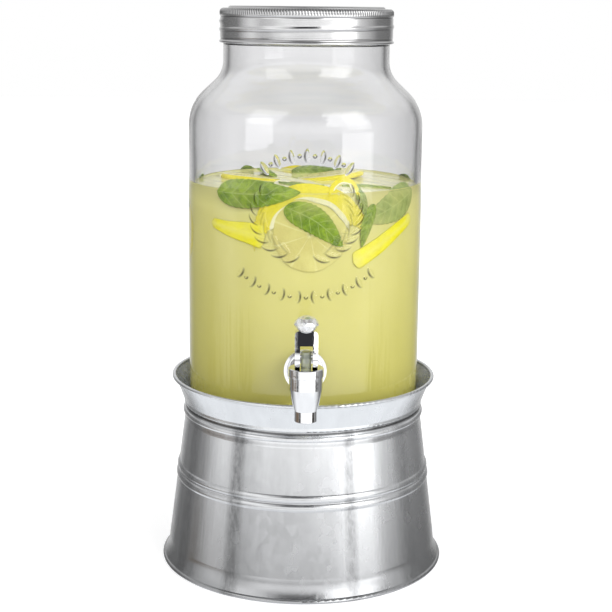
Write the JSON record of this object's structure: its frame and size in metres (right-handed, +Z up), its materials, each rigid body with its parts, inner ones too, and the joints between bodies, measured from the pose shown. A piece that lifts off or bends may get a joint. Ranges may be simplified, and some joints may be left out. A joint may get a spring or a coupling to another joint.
{
  "type": "beverage dispenser",
  "caption": "Glass jar drink dispenser with a screw lid and a lever tap, standing in a galvanised tray on a tapered galvanised stand.",
  "frame": {"origin": "centre of the flat under the base rim, on the table", "axes": "+Z up along the jar's axis, -Y towards the tap, +X to the right of a person facing the tap"},
  "size_m": [0.237, 0.2652, 0.4587],
  "materials": {
    "galvanised_skirt": "hot-dip galvanised, faint spangle and streaks, satin",
    "galvanised_plate": "hot-dip galvanised, faint spangle and streaks, satin",
    "galvanised_tray": "hot-dip galvanised, faint spangle and streaks, satin",
    "hem_wire": "drawn wire, satin",
    "jar_glass": "clear pressed glass, polished",
    "tap_chrome": "polished plating",
    "lever_chrome": "polished plating",
    "pin_steel": "turned, bright",
    "stem_plastic": "translucent moulded plastic",
    "nut_plastic": "moulded, glossy",
    "white_plastic": "moulded, matt",
    "knob_acrylic": "clear faceted acrylic, polished",
    "silicone": "translucent food-grade silicone, matt",
    "lid_tin": "rolled sheet, satin with fine brushing"
  },
  "bodies": {
    "stand": {"stand_skirt": "galvanised_skirt", "base_rim_wire": "hem_wire", "stand_top_plate": "galvanised_plate", "serving_tray": "galvanised_tray", "tray_rim_wire": "hem_wire"},
    "jar": {"glass_jar": "jar_glass", "spigot_body": "tap_chrome", "outer_washer": "silicone", "inner_washer": "silicone", "slip_washer": "white_plastic", "lock_nut": "nut_plastic", "spigot_bonnet": "tap_chrome", "seat_cup": "silicone"},
    "stem": {"valve_stem": "stem_plastic"},
    "lever": {"lever": "lever_chrome", "pivot_pin": "pin_steel", "knob_stud": "pin_steel", "crystal_knob": "knob_acrylic"},
    "lid_seal": {"lid_gasket": "silicone"},
    "lid_disc": {"lid_disc": "lid_tin"},
    "lid_ring": {"lid_band": "lid_tin"}
  },
  "joints": [
    {"name": "jar_lift", "type": "slide", "parent": "stand", "child": "jar", "axis": [0, 0, 1], "range_m": [0, 0.09]},
    {"name": "stem_lift", "type": "slide", "parent": "jar", "child": "stem", "axis": [0, 0, 1], "range_m": [0, 0.0031], "deforming": ["seat_cup"]},
    {"name": "lever_tilt", "type": "hinge", "parent": "stem", "child": "lever", "pos_m": [0, -0.1335, 0.204], "axis": [1, 0, 0], "range_deg": [0, 60], "stiffness_Nm_per_rad": 0.1},
    {"name": "lid_lift", "type": "slide", "parent": "jar", "child": "lid_seal", "axis": [0, 0, 1], "range_m": [0, 0.06]},
    {"name": "lid_rise", "type": "slide", "parent": "lid_seal", "child": "lid_disc", "axis": [0, 0, 1], "range_m": [0, 0.0096]},
    {"name": "lid_turn", "type": "hinge", "parent": "lid_disc", "child": "lid_ring", "pos_m": [0, 0, 0.44], "axis": [0, 0, 1], "range_deg": [0, 540]}
  ],
  "couplings": [
    {"joint": "stem_lift", "follows": "lever_tilt", "m_per_rad": 0.0028648},
    {"joint": "lid_rise", "follows": "lid_turn", "m_per_rad": 0.0010106}
  ]
}
